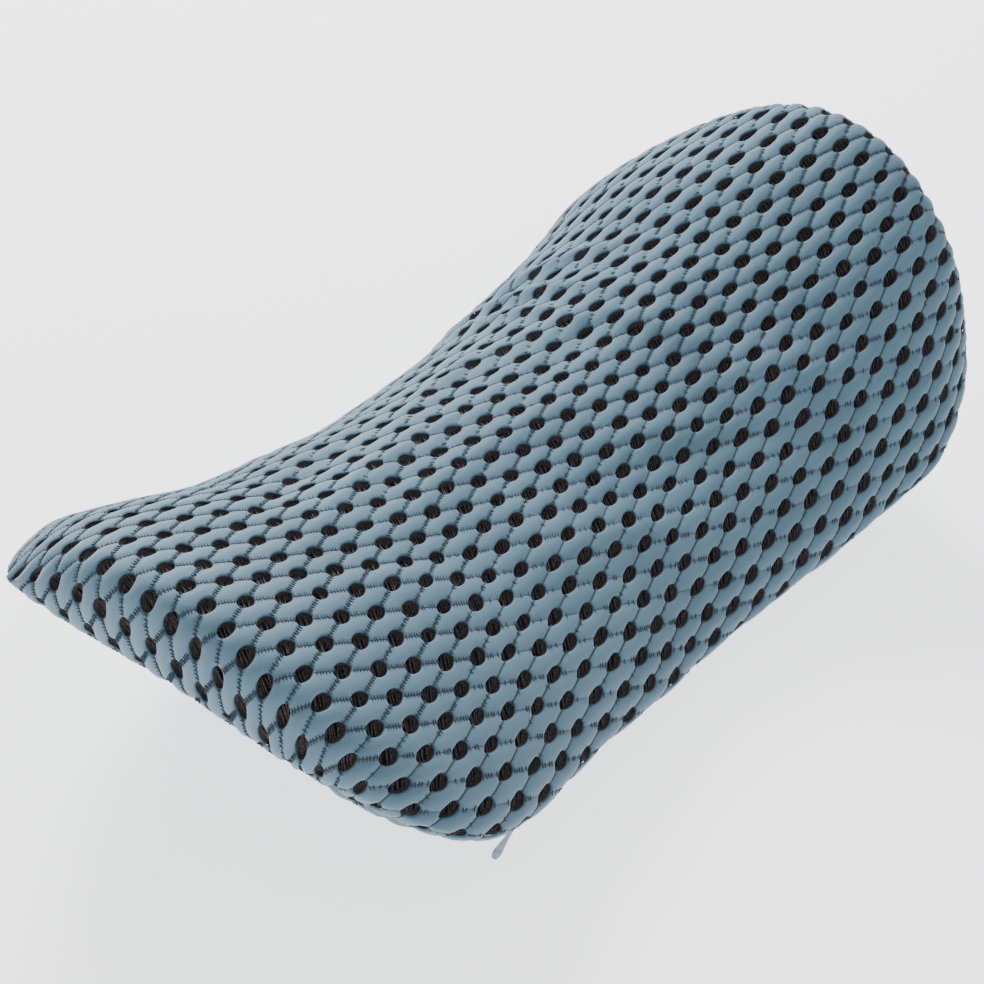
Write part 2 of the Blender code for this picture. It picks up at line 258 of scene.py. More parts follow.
class Sheet:
    """A panel's surface, with slack fabric laid over it.

    A place on the sheet is (way, out): the step round the outline, and how far out from the middle,
    1 at the panel's own border. The fabric place of a point is its length along the cushion from the
    waist, on a line that keeps its share of the width, and its length across from the middle.
    """

    def __init__(self, upper, weave):
        self.upper, self.weave = upper, weave
        self.rim, self.out_way = RIM
        self.edge = 0.0 if upper else SEAM
        self.top = self.top_of if upper else self.base_of
        inside = np.linspace(0, 1, IN_STEPS + 1)
        under = 1 + np.linspace(0, UNDER_REACH, UNDER_STEPS + 1)
        self.outs = np.concatenate([inside, under[1:]])
        way, out = np.meshgrid(np.arange(ROUND + 1.0), self.outs, indexing="ij")
        self.points = self.surface(way, out)
        self.places = self.fabric_places(way, out)
        self.normals = self.find_normals()
        length = self.length_out()
        column = IN_STEPS + (SEAM / BEYOND * UNDER_STEPS / UNDER_REACH if upper else 0.0)
        at_seam = lookup(length, np.arange(ROUND + 1.0), np.full(ROUND + 1, column))
        self.beyond_seam = length - at_seam[:, None]

    def length_out(self):
        """Length along the surface from the middle out, for every place of the tables."""
        steps = np.linalg.norm(np.diff(self.points, axis=1), axis=2)
        return np.concatenate([np.zeros((ROUND + 1, 1)), np.cumsum(steps, axis=1)], axis=1)

    @staticmethod
    def top_of(u, v):
        a = np.clip(u / HALF_LENGTH, -1, 1)
        return arch_point(a, across_share(a * HALF_LENGTH, v))

    @staticmethod
    def base_of(u, v):
        a = np.clip(u / HALF_LENGTH, -1, 1)
        return base_point(a, across_share(a * HALF_LENGTH, v))

    def column(self, out):
        """Column of the tables, with its fraction, at which out is reached."""
        return np.interp(out, self.outs, np.arange(len(self.outs)))

    def rim_at(self, way):
        """Place of the rim in plan, and its outward normal."""
        zero = np.zeros_like(way)
        rim = [lookup(np.column_stack([self.rim[:, k]] * 2), way, zero) for k in range(2)]
        normal = [lookup(np.column_stack([self.out_way[:, k]] * 2), way, zero) for k in range(2)]
        return rim, normal

    def surface(self, way, out):
        """Points of the CAD surface. The upper panel goes on under the rim to the seam and past it."""
        (u, v), (nu, nv) = self.rim_at(way)
        u, v = u - nu * self.edge, v - nv * self.edge
        share = np.sin(np.pi / 2 * np.clip(out, 0, 1))
        past = np.maximum(out - 1, 0) * BEYOND
        if not self.upper:
            reached = np.minimum(past, SEAM)
            return self.base_of((u + nu * reached) * share, (v + nv * reached) * share)
        inner = self.top_of(u * share, v * share)
        under = self.base_of(u - nu * past, v - nv * past)
        return np.where((past > 0)[..., None], under, inner)

    def fabric_places(self, way, out):
        """Length along and across of every place of the tables."""
        shares = np.linspace(-LAST_LINE, LAST_LINE, LINES + 1)
        turns = np.linspace(-1, 1, LINE_STEPS + 1)
        swing = np.sin(np.pi / 2 * turns)
        u = HALF_LENGTH * np.sin(np.linspace(-np.pi / 2, np.pi / 2, 2001))
        ends = []
        for share in shares:
            inside = half_width(u, 1 if share > 0 else -1) >= np.abs(share) * side_width(u)
            ends.append((u[inside][0], u[inside][-1]))
        low, high = np.array(ends).T
        row_u = (low + high)[:, None] / 2 + (high - low)[:, None] / 2 * swing
        row_points = self.top(row_u, shares[:, None] * side_width(row_u))
        along = lengths_from_zero(row_points, row_u)
        stations = HALF_LENGTH * np.sin(np.linspace(-np.pi / 2, np.pi / 2, STATIONS + 1))
        left, right = half_width(stations, 1), half_width(stations, -1)
        row_v = ((left - right)[:, None] + (left + right)[:, None] * swing) / 2
        across = lengths_from_zero(self.top(np.repeat(stations[:, None], len(turns), 1), row_v), row_v)
        (rim_u, rim_v), (nu, nv) = self.rim_at(way)
        rim_u, rim_v = rim_u - nu * self.edge, rim_v - nv * self.edge
        share = np.sin(np.pi / 2 * np.clip(out, 0, 1))
        u, v = rim_u * share, rim_v * share
        row = np.clip((v / side_width(u) + LAST_LINE) / (2 * LAST_LINE), 0, 1) * LINES
        first = lookup(np.column_stack([low, low]), row, 0 * row)
        last = lookup(np.column_stack([high, high]), row, 0 * row)
        swung = np.clip((u - (first + last) / 2) / np.maximum((last - first) / 2, 1e-6), -1, 1)
        s = lookup(along, row, (np.arcsin(swung) / np.pi + 0.5) * LINE_STEPS)
        station = (np.arcsin(np.clip(u / HALF_LENGTH, -1, 1)) / np.pi + 0.5) * STATIONS
        t = lookup(across, station, (np.arcsin(across_share(u, v)) / np.pi + 0.5) * LINE_STEPS)
        length = self.length_out()
        past = np.maximum(length - length[:, IN_STEPS : IN_STEPS + 1], 0)
        past = past + np.maximum(out - 1 - SEAM / BEYOND, 0) * 0.2
        return np.stack([s + past * nu, t + past * nv], -1)

    def find_normals(self):
        """Outward normals of every place of the tables, smoothed over a few steps."""
        round_way = np.roll(self.points[:-1], -2, 0) - np.roll(self.points[:-1], 2, 0)
        round_way = np.concatenate([round_way, round_way[:1]])
        normals = np.cross(np.gradient(self.points, axis=1), round_way)
        normals[:, :3] = normals[:, 3:4]
        if not self.upper:
            reached = IN_STEPS + int(SEAM / BEYOND * UNDER_STEPS / UNDER_REACH)
            normals[:, reached - 1 :] = normals[:, reached - 2 : reached - 1]
            normals = -normals
        normals /= np.maximum(np.linalg.norm(normals, axis=2, keepdims=True), 1e-12)
        for _ in range(3):
            padded = np.concatenate([normals[-3:-1], normals, normals[1:3]])
            normals = sum(padded[k : k + ROUND + 1] for k in range(5)) / 5
            inner = (normals[:, :-2] + normals[:, 1:-1] + normals[:, 2:]) / 3
            normals = np.concatenate([normals[:, :1], inner, normals[:, -1:]], axis=1)
        return normals / np.linalg.norm(normals, axis=2, keepdims=True)

    def drawn(self, x, y):
        """Lengths on the cover, along and across, of a place on the slack fabric."""
        w = self.weave
        s = w["middle"] + w["along"] * x + w["lean"] * y
        s += w["ease_along"] * x * x + w["column_fan"] * x * y + w["column_bow"] * y * y
        t = w["across"] * y + w["row_bow"] * x * x + w["row_fan"] * x * y + w["ease_across"] * y * y
        return s, t

    def place(self, x, y):
        """(way, out) of places on the slack fabric, x along and y across, by Newton's steps."""
        shape = np.shape(x)
        x, y = np.ravel(x), np.ravel(y)
        s, t = self.drawn(x, y)
        border = self.places[:-1, IN_STEPS]
        border_angle = np.unwrap(np.arctan2(border[:, 1], border[:, 0]))
        order = np.argsort(border_angle)
        angle = np.arctan2(t, s)
        angle = border_angle[order[0]] + (angle - border_angle[order[0]]) % (2 * np.pi)
        way = np.interp(angle, border_angle[order], order.astype(float))
        at_rim = np.hypot(*(lookup(self.places, way, np.full_like(way, float(IN_STEPS))).T))
        first_guess = np.arcsin(np.clip(np.hypot(s, t) / at_rim, 0, 1)) / (np.pi / 2)
        column = IN_STEPS * np.clip(first_guess, 0.001, 1)
        last = len(self.outs) - 1.001
        for step in range(30):
            place = lookup(self.places, way, column)
            c, r = column.astype(int), way.astype(int)
            f = (way - r)[:, None]
            by_out = (self.places[r, c + 1] - self.places[r, c]) * (1 - f)
            by_out += (self.places[r + 1, c + 1] - self.places[r + 1, c]) * f
            f = (column - c)[:, None]
            by_way = (self.places[r + 1, c] - self.places[r, c]) * (1 - f)
            by_way += (self.places[r + 1, c + 1] - self.places[r, c + 1]) * f
            miss = np.column_stack([s, t]) - place
            area = by_way[:, 0] * by_out[:, 1] - by_way[:, 1] * by_out[:, 0]
            area = np.where(np.abs(area) < 1e-12, 1e-12, area)
            d_way = (miss[:, 0] * by_out[:, 1] - miss[:, 1] * by_out[:, 0]) / area
            d_out = (by_way[:, 0] * miss[:, 1] - by_way[:, 1] * miss[:, 0]) / area
            damp = 1.0 if step < 12 else 0.5
            way = (way + damp * np.clip(d_way, -40, 40)) % ROUND
            column = np.clip(column + damp * np.clip(d_out, -8, 8), 0.0, last)
        out = np.interp(column, np.arange(len(self.outs)), self.outs)
        return way.reshape(shape), out.reshape(shape)

    def past(self, way, out):
        """How far beyond the fabric's edge, in metres, a place lies: below 0 is on the fabric."""
        return lookup(self.beyond_seam, way, self.column(out)) + ZIP_LIP * self.by_zip(way)

    def past_slider(self, way, out):
        """How far beyond the slider's path a place lies: below 0 is clear of it, on the fabric."""
        room = SLIDER_ROOM * self.by_zip(way, SLIDER_HALF)
        return lookup(self.beyond_seam, way, self.column(out)) + room

    def by_zip(self, way, further=0.0):
        """1 along the zip and that much further at either end, 0 where the edge is sewn."""
        (u, _), (_, nv) = self.rim_at(way)
        end = ZIP_END + further
        return (1 - smooth(np.abs(u), end - 0.002, end + 0.006)) * (nv < -0.5)

    def raised(self, way, out, height):
        """Points at a height over the sheet, pressed flat where they would go into the floor."""
        normal = lookup(self.normals, way, self.column(out))
        points = self.surface(way, out) + normal * height[..., None]
        points[..., 2] = np.maximum(points[..., 2], 0.0)
        return points


RIM = outline()
upper_sheet = Sheet(True, TAUT)
base_sheet = Sheet(False, FLAT)


# ---------------------------------------------------------------- mesh helpers


def new_object(name, points, faces, material, smooth=True):
    mesh = bpy.data.meshes.new(name)
    mesh.from_pydata(points.tolist(), [], faces)
    mesh.update()
    obj = bpy.data.objects.new(name, mesh)
    bpy.context.scene.collection.objects.link(obj)
    if material:
        mesh.materials.append(material)
    if smooth:
        mesh.shade_smooth()
    return obj


def add_uv(obj, places):
    """Stores the fabric place of every vertex as the UV map, in metres."""
    layer = obj.data.uv_layers.new(name="fabric")
    index = np.zeros(len(obj.data.loops), np.int32)
    obj.data.loops.foreach_get("vertex_index", index)
    layer.data.foreach_set("uv", places[index].astype(np.float32).ravel())


def clipped(rows, faces, excess):
    """Cuts the triangles where excess passes 0. Each row of numbers is a vertex."""
    rows, made = rows.tolist(), {}
    inside, values = (excess <= 0), excess.tolist()

    def crossing(i, j):
        key = (min(i, j), max(i, j))
        if key not in made:
            share = values[i] / (values[i] - values[j])
            rows.append([p + (q - p) * share for p, q in zip(rows[i], rows[j])])
            made[key] = len(rows) - 1
        return made[key]

    count = inside[faces].sum(1)
    kept = faces[count == 3].tolist()
    inside = inside.tolist()
    for face in faces[(count > 0) & (count < 3)].tolist():
        outline = []
        for k in range(3):
            i, j = face[k], face[(k + 1) % 3]
            if inside[i]:
                outline.append(i)
            if inside[i] != inside[j]:
                outline.append(crossing(i, j))
        kept += [[outline[0], outline[k], outline[k + 1]] for k in range(1, len(outline) - 1)]
    used, faces = np.unique(np.array(kept), return_inverse=True)
    return np.array(rows)[used], faces.reshape(-1, 3).tolist()


def tubes(paths, radius, sides=4):
    """Closed tubes along paths of equal length: paths is (tubes, points, 3), radius a number or array."""
    count, length, _ = paths.shape
    direction = np.gradient(paths, axis=1)
    direction /= np.maximum(np.linalg.norm(direction, axis=2, keepdims=True), 1e-12)
    helper = np.where(np.abs(direction[..., 2:]) > 0.9, [1.0, 0, 0], [0, 0, 1.0])
    side = np.cross(direction, helper)
    side /= np.maximum(np.linalg.norm(side, axis=2, keepdims=True), 1e-12)
    other = np.cross(direction, side)
    turn = np.arange(sides) * 2 * np.pi / sides
    radius = np.broadcast_to(np.asarray(radius, float), (count, length))[..., None, None]
    ring = np.cos(turn)[:, None] * side[:, :, None] + np.sin(turn)[:, None] * other[:, :, None]
    points = (paths[:, :, None] + radius * ring).reshape(-1, 3)
    index = np.arange(count * length * sides).reshape(count, length, sides)
    near, far = index[:, :-1], index[:, 1:]
    quads = np.stack([near, np.roll(near, -1, 2), np.roll(far, -1, 2), far], -1).reshape(-1, 4)
    caps = np.concatenate([index[:, 0, ::-1], index[:, -1]]).tolist()
    return points, quads.tolist() + caps


# ---------------------------------------------------------------- the mesh fabric


def strength(s, t):
    """Which family of grooves is drawn tight: -1 for those running down towards +s, 1 for up."""
    near = smooth(s, -0.10, -0.19) * smooth(t, -0.11, -0.05)
    return (1 - near) * np.clip(-(t - 0.01) / 0.07, -1, 1)


def line_weight(pull):
    """How strongly a groove shows, in its thread's thickness and in the painted shade along it: pull is 1
    where its family is drawn tight, -1 where the other is.
    """
    return np.clip(0.5 + 0.5 * pull, 0.16, 1.0)


def holes_near(sheet):
    """Fabric places of the holes whose cells reach onto the sheet."""
    i, j = np.meshgrid(np.arange(-21, 24), np.arange(-16, 17), indexing="ij")
    s = PITCH_S * i
    t = PITCH_T * (j + (i % 2) / 2)
    s, t = s.ravel(), t.ravel()
    kept = sheet.past(*sheet.place(s, t)) < 0.012
    return s[kept], t[kept]


def cell_border():
    """Points round the area nearest to a hole, with more of them where grooves leave it."""
    half = PITCH_T / 2
    corner = PITCH_S / 2 - PITCH_T**2 / (8 * PITCH_S)
    point = PITCH_S / 2 + PITCH_T**2 / (8 * PITCH_S)
    corners = [(corner, half), (-corner, half), (-point, 0)]
    corners += [(-corner, -half), (corner, -half), (point, 0)]
    level, slanted = (0, 0.25, 0.5, 0.75), (0, 0.22, 0.4, 0.5, 0.6, 0.78)
    border = []
    for k, start in enumerate(corners):
        end = corners[(k + 1) % 6]
        for share in level if k in (0, 3) else slanted:
            border.append([p + (q - p) * share for p, q in zip(start, end)])
    return np.array(border)


def hole_outlines(s, t, border, random):
    """Outline of each hole about its own middle, a point for every point of the cell's border."""
    count = len(s)
    pull = strength(s, t)[:, None]
    half_s = HOLE[0] * (1 + 0.05 * random.standard_normal(count)[:, None] + 0.10 * np.abs(pull))
    half_t = HOLE[1] * (1 + 0.06 * random.standard_normal(count)[:, None] - 0.10 * np.abs(pull))
    angle = np.arctan2(border[:, 1], border[:, 0])[None]
    turn = np.arctan2(np.sin(angle) / half_t, np.cos(angle) / half_s)
    tear = np.where(pull > 0, 0.34, -0.18) * np.abs(pull) + 0.05 * random.standard_normal(count)[:, None]
    lens = 0.10 + 0.22 * np.clip(-pull, 0, 1)
    x = half_s * np.cos(turn)
    y = half_t * np.sin(turn) * np.abs(np.sin(turn)) ** lens * (1 + tear * np.cos(turn))
    lean = 0.19 * pull + 0.04 * random.standard_normal(count)[:, None]
    outline = np.stack([x * np.cos(lean) - y * np.sin(lean), x * np.sin(lean) + y * np.cos(lean)], -1)
    return outline + 0.00025 * random.standard_normal((count, 1, 2))


def groove_distance(x, y):
    """Distance from a place in a cell to the nearest of its four grooves."""
    length = math.hypot(PITCH_S, PITCH_T / 2)
    return np.abs(np.abs(x) * PITCH_T / 2 - np.abs(y) * PITCH_S) / length


WALL = ((1.0, -0.0008), (1.16, -0.0019), (1.10, -0.0031), (0.98, -0.0043))  # a hole's growth, and depth
YARNS = 7  # spacer yarns across a hole
YARN_RADIUS = 0.00025
YARN_CLEAR = 0.006  # holes nearer than this to the fabric's edge have no yarns
GROOVE_START = 0.0047  # from a hole's middle along a groove to the start of its thread
SHADE_RUNGS = 6  # short dark tubes across each groove, painted shade of the gaps between its stitches
BACK_GRID = 0.004  # spacing of the back layer's points
WRINKLES = (  # middle s, middle t, half length, half width, direction in degrees, height
    (0.070, 0.118, 0.050, 0.0060, -62, 0.0034),
    (0.052, 0.108, 0.042, 0.0055, -70, 0.0026),
    (0.100, 0.122, 0.040, 0.0065, -50, 0.0030),
    (0.020, 0.085, 0.045, 0.0080, -20, 0.0024),
    (-0.020, 0.095, 0.050, 0.0070, 12, 0.0024),
    (-0.110, 0.060, 0.060, 0.0090, 8, 0.0028),
    (-0.140, 0.085, 0.050, 0.0080, 14, -0.0026),
    (0.040, -0.030, 0.050, 0.0100, -35, 0.0022),
    (0.075, -0.060, 0.045, 0.0090, -30, -0.0022),
    (0.085, 0.020, 0.034, 0.0090, -75, 0.0020),
    (0.030, 0.050, 0.050, 0.0095, 5, -0.0024),
    (-0.060, 0.030, 0.055, 0.0110, 0, 0.0026),
    (-0.150, -0.010, 0.040, 0.0120, -30, 0.0022),
    (0.125, -0.050, 0.050, 0.0110, -40, 0.0020),
    (-0.030, -0.050, 0.045, 0.0110, -20, 0.0022),
)


def softness(s, t, seed):
    """Slow swells of the filling under the cover, in metres."""
    total = np.zeros_like(s)
    random = np.random.default_rng(seed)
    for _ in range(14):
        wave = 2 * np.pi / random.uniform(0.07, 0.17)
        heading, phase = random.uniform(0, 2 * np.pi, 2)
        total += np.sin(wave * (s * np.cos(heading) + t * np.sin(heading)) + phase)
    return total * 0.00022


def folds(s, t):
    total = np.zeros_like(s)
    for middle_s, middle_t, length, width, direction, height in WRINKLES:
        c, d = math.cos(math.radians(direction)), math.sin(math.radians(direction))
        along = (s - middle_s) * c + (t - middle_t) * d
        across = (t - middle_t) * c - (s - middle_s) * d + 0.12 * along**2 / length
        total += height * np.exp(-((along / length) ** 2) - (across / width) ** 2)
    return total


def seam_valley(past):
    """How far the fabric is drawn in where it nears its edge."""
    distance = np.maximum(-past, 0.0)
    return -0.0030 * np.exp(-((distance / 0.0032) ** 1.4))


RINGS = (0.0, 0.10, 0.33, 0.65, 1.0)


def mesh_panel(sheet, seed):
    """Places, heights and faces of the face layer, and what the other layers need to know."""
    random = np.random.default_rng(seed)
    s, t = holes_near(sheet)
    border = cell_border()
    outline = hole_outlines(s, t, border, random)
    share = np.array(RINGS)[None, :, None, None]
    local = outline[:, None] + (border - outline)[:, None] * share
    x, y = local[..., 0], local[..., 1]
    groove = groove_distance(x, y)
    from_hole = np.linalg.norm(local - outline[:, None], axis=-1)
    fullness = 1 - (1 - np.minimum(groove / 0.00685, 1)) ** 2.4
    rolled = 0.55 + 0.45 * smooth(from_hole, 0.0, 0.0032)
    height = PUFF * fullness * rolled
    height[:, 0] -= 0.0009
    way = np.where(x * y > 0, 1.0, -1.0)
    drawn = line_weight(way * strength(s, t)[:, None, None])
    # shade is painted shade, 1 where there is none: darker along the grooves, the more so where their
    # family is drawn tight, and darker still at the holes' edges.
    shade = 1 - drawn * (1 - np.clip(groove / 0.0008, 0, 1))
    shade *= np.clip(0.35 + from_hole / 0.0006, 0, 1)
    places = np.stack([s[:, None, None] + x, t[:, None, None] + y], -1).reshape(-1, 2)
    height, shade = height.ravel(), shade.ravel()
    rings, around = len(RINGS), len(border)
    index = np.arange(len(s) * rings * around).reshape(len(s), rings, around)
    near, far = index[:, :-1], index[:, 1:]
    near_next, far_next = np.roll(near, -1, 2), np.roll(far, -1, 2)
    first_half = np.stack([near, far, far_next], -1).reshape(-1, 3)
    second_half = np.stack([near, far_next, near_next], -1).reshape(-1, 3)
    faces = np.concatenate([first_half, second_half])
    keys = np.round(places * 2e6).astype(np.int64)
    _, first, inverse = np.unique(keys, axis=0, return_index=True, return_inverse=True)
    inverse = inverse.reshape(-1)
    places, height, shade = places[first], height[first], shade[first]
    faces = inverse[faces]
    excess = sheet.past(*sheet.place(places[:, 0], places[:, 1]))
    data, faces = clipped(np.column_stack([places, height, shade]), faces, excess)
    return data, faces, (s, t, outline)


def relief(sheet, s, t, way, out, seed, wrinkled):
    """Height of the fabric's valleys at a place, without the pads."""
    height = -FACE_DROP + softness(s, t, seed) + seam_valley(sheet.past(way, out))
    if wrinkled:
        height = height + folds(s, t)
    return height


# ---------------------------------------------------------------- materials


def material(name):
    made = bpy.data.materials.new(name)
    made.use_nodes = True
    made.node_tree.nodes.clear()
    return made


class Nodes:
    """Short hand for building a node tree."""

    def __init__(self, name):
        self.material = material(name)
        self.tree = self.material.node_tree

    def add(self, kind, values=None, **settings):
        node = self.tree.nodes.new(kind)
        for key, value in settings.items():
            setattr(node, key, value)
        for key, value in (values or {}).items():
            socket = node.inputs[key]
            if isinstance(value, bpy.types.NodeSocket):
                self.tree.links.new(value, socket)
            else:
                socket.default_value = value
        return node

    def math(self, operation, *values, clamp=False):
        node = self.add("ShaderNodeMath", dict(enumerate(values)), operation=operation)
        node.use_clamp = clamp
        return node.outputs[0]

    def noise(self, place, scale, detail=3.0, roughness=0.55):
        values = {"Vector": place, "Scale": scale, "Detail": detail, "Roughness": roughness}
        return self.add("ShaderNodeTexNoise", values).outputs["Fac"]

    def ramp(self, value, low, high, low_to=0.0, high_to=1.0):
        values = {"Value": value, "From Min": low, "From Max": high, "To Min": low_to, "To Max": high_to}
        return self.add("ShaderNodeMapRange", values, interpolation_type="SMOOTHSTEP").outputs[0]

    def mix(self, share, first, second, blend="MIX"):
        node = self.add("ShaderNodeMix", data_type="RGBA", blend_type=blend)
        for socket, value in ((node.inputs[0], share), (node.inputs[6], first), (node.inputs[7], second)):
            if isinstance(value, bpy.types.NodeSocket):
                self.tree.links.new(value, socket)
            else:
                socket.default_value = value
        return node.outputs[2]

    def finish(self, **values):
        shader = self.add("ShaderNodeBsdfPrincipled", {k.replace("_", " "): v for k, v in values.items()})
        self.add("ShaderNodeOutputMaterial", {"Surface": shader.outputs[0]})
        return self.material


def linear(red, green, blue):
    def one(value):
        value /= 255
        return value / 12.92 if value <= 0.04045 else ((value + 0.055) / 1.055) ** 2.4

    return (one(red), one(green), one(blue), 1.0)


def face_material():
    """Warp-knitted polyester face: fine wales and courses, with painted shade in the grooves and at the
    holes' edges.
    """
    n = Nodes("mesh_face")
    fabric = n.add("ShaderNodeUVMap", uv_map="fabric").outputs[0]
    object_place = n.add("ShaderNodeTexCoord").outputs["Object"]
    shade = n.add("ShaderNodeAttribute", attribute_name="shade").outputs["Fac"]
    split = n.add("ShaderNodeSeparateXYZ", {0: fabric})
    wobble = n.math("MULTIPLY", n.noise(object_place, 160.0, 2.0), 0.0006)
    along = n.math("ADD", split.outputs[0], wobble)
    across = n.math("ADD", split.outputs[1], wobble)
    wale = n.math("SINE", n.math("MULTIPLY", across, 2 * math.pi / 0.00074))
    turned = n.math("MULTIPLY", n.math("ABSOLUTE", wale), 0.00022)
    course = n.math("SINE", n.math("MULTIPLY", n.math("ADD", along, turned), 2 * math.pi / 0.00062))
    knit = n.math("ADD", n.math("MULTIPLY", wale, 0.6), n.math("MULTIPLY", course, 0.4))
    fibre = n.noise(object_place, 2600.0, 2.0, 0.6)
    blotch = n.ramp(n.noise(object_place, 18.0, 3.0), 0.30, 0.70)
    body = n.mix(blotch, linear(80, 110, 127), linear(91, 121, 138))
    body = n.mix(n.ramp(knit, -1.0, 0.4, 0.16, 0.0), body, linear(52, 76, 91))
    body = n.mix(n.ramp(fibre, 0.55, 0.8, 0.0, 0.18), body, linear(176, 196, 206))
    # painted shade: the shade attribute darkens the face in its grooves and at its holes' edges
    body = n.mix(n.ramp(shade, 0.0, 1.0, 0.93, 0.0), body, linear(30, 44, 56))
    height = n.math("ADD", n.math("MULTIPLY", knit, 0.5), n.math("MULTIPLY", fibre, 0.35))
    bump = n.add("ShaderNodeBump", {"Height": height, "Distance": 0.00012, "Strength": 0.5})
    rough = n.ramp(fibre, 0.3, 0.8, 0.62, 0.80)
    return n.finish(
        Base_Color=body, Roughness=rough, Normal=bump.outputs[0], Sheen_Weight=0.35,
        Sheen_Roughness=0.45, Sheen_Tint=(0.85, 0.93, 1.0, 1.0), Specular_IOR_Level=0.35,
    )


def yarn_material(name, dark, light, gloss):
    """Spun or textured yarn with fine fibres along it."""
    n = Nodes(name)
    place = n.add("ShaderNodeTexCoord").outputs["Object"]
    fibre = n.noise(place, 1500.0, 3.0, 0.6)
    blotch = n.noise(place, 60.0, 2.0)
    body = n.mix(n.ramp(fibre, 0.35, 0.7), linear(*dark), linear(*light))
    body = n.mix(n.ramp(blotch, 0.35, 0.65, 0.0, 0.35), body, linear(*dark))
    bump = n.add("ShaderNodeBump", {"Height": fibre, "Distance": 0.0001, "Strength": 0.6})
    return n.finish(
        Base_Color=body, Roughness=gloss, Normal=bump.outputs[0], Sheen_Weight=0.15,
        Sheen_Roughness=0.5, Specular_IOR_Level=0.3,
    )


def back_material():
    """Fine dark tricot on the inner side of the mesh."""
    n = Nodes("mesh_back")
    fabric = n.add("ShaderNodeUVMap", uv_map="fabric").outputs[0]
    split = n.add("ShaderNodeSeparateXYZ", {0: fabric})
    rib = n.math("SINE", n.math("MULTIPLY", split.outputs[0], 2 * math.pi / 0.0011))
    cross = n.math("SINE", n.math("MULTIPLY", split.outputs[1], 2 * math.pi / 0.0009))
    net = n.math("MULTIPLY", n.math("ADD", rib, cross), 0.5)
    blotch = n.noise(fabric, 90.0, 2.0)
    body = n.mix(n.ramp(net, -0.4, 0.6), linear(28, 27, 31), linear(72, 64, 64))
    body = n.mix(n.ramp(blotch, 0.3, 0.7, 0.0, 0.5), body, linear(30, 28, 30))
    bump = n.add("ShaderNodeBump", {"Height": net, "Distance": 0.0003, "Strength": 0.8})
    return n.finish(Base_Color=body, Roughness=0.85, Normal=bump.outputs[0], Specular_IOR_Level=0.2)


def moulded_material(name, base, paler, rough):
    """Moulded or painted hard part: slight mottling, and paler on its sharp edges."""
    n = Nodes(name)
    place = n.add("ShaderNodeTexCoord").outputs["Object"]
    grain = n.noise(place, 900.0, 4.0, 0.6)
    blotch = n.noise(place, 140.0, 3.0)
    edge = n.ramp(n.add("ShaderNodeNewGeometry").outputs["Pointiness"], 0.52, 0.62)
    body = n.mix(n.ramp(blotch, 0.35, 0.65, 0.0, 0.30), linear(*base), linear(*paler))
    # paler on the sharp edges, where pointiness is high
    body = n.mix(n.math("MULTIPLY", edge, n.ramp(grain, 0.4, 0.6)), body, linear(*paler))
    bump = n.add("ShaderNodeBump", {"Height": grain, "Distance": 0.00003, "Strength": 0.3})
    return n.finish(
        Base_Color=body, Roughness=n.ramp(grain, 0.3, 0.7, rough - 0.07, rough + 0.08),
        Normal=bump.outputs[0], Specular_IOR_Level=0.5, Coat_Weight=0.25, Coat_Roughness=0.25,
    )


FACE = face_material()
SPACER = yarn_material("spacer_yarn", (48, 45, 48), (118, 106, 102), 0.6)
STITCH = yarn_material("stitch_yarn", (24, 38, 50), (52, 70, 84), 0.7)
BACK = back_material()


# ---------------------------------------------------------------- the cover's pieces


def panel_piece(name, sheet, seed, wrinkled):
    """The face layer with its holes, and the holes for the other layers."""
    data, faces, holes = mesh_panel(sheet, seed)
    s, t, height, shade = data.T
    way, out = sheet.place(s, t)
    height = height * smooth(-sheet.past(way, out), 0.0, 0.004)
    level = relief(sheet, s, t, way, out, seed, wrinkled)
    points = sheet.raised(way, out, height + level)
    if not sheet.upper:
        faces = [face[::-1] for face in faces]
    panel = new_object(name, points, faces, FACE)
    add_uv(panel, np.column_stack([s, t]))
    # the painted shade of the grooves and of the holes' edges, for the face material
    layer = panel.data.attributes.new("shade", "FLOAT", "POINT")
    layer.data.foreach_set("value", shade.astype(np.float32))
    return panel, holes


def along_sheet(sheet, s, t, depth, seed, wrinkled):
    """Points at a depth below the face layer's valleys."""
    way, out = sheet.place(s, t)
    return sheet.raised(way, out, relief(sheet, s, t, way, out, seed, wrinkled) + depth)


def spacer_piece(name, sheet, holes, seed, wrinkled):
    """The walls of the holes: the dark spacer yarns seen between the face and the back layer."""
    s, t, outline = holes
    outline = outline[:, ::2]
    grow, depth = np.array(WALL).T
    places = np.stack([s, t], -1)[:, None, None] + outline[:, None] * grow[:, None, None]
    count, deep, around, _ = places.shape
    depths = np.broadcast_to(depth[:, None], (count, deep, around))
    index = np.arange(count * deep * around).reshape(count, deep, around)
    near, far = index[:, :-1], index[:, 1:]
    far_next, near_next = np.roll(far, -1, 2), np.roll(near, -1, 2)
    faces = np.stack([near, far, far_next, near, far_next, near_next], -1).reshape(-1, 3)
    rows = np.column_stack([places.reshape(-1, 2), depths.ravel()])
    excess = sheet.past_slider(*sheet.place(rows[:, 0], rows[:, 1]))
    data, faces = clipped(rows, faces, excess)
    points = along_sheet(sheet, *data.T, seed, wrinkled)
    if not sheet.upper:
        faces = [face[::-1] for face in faces]
    return new_object(name, points, faces, SPACER)


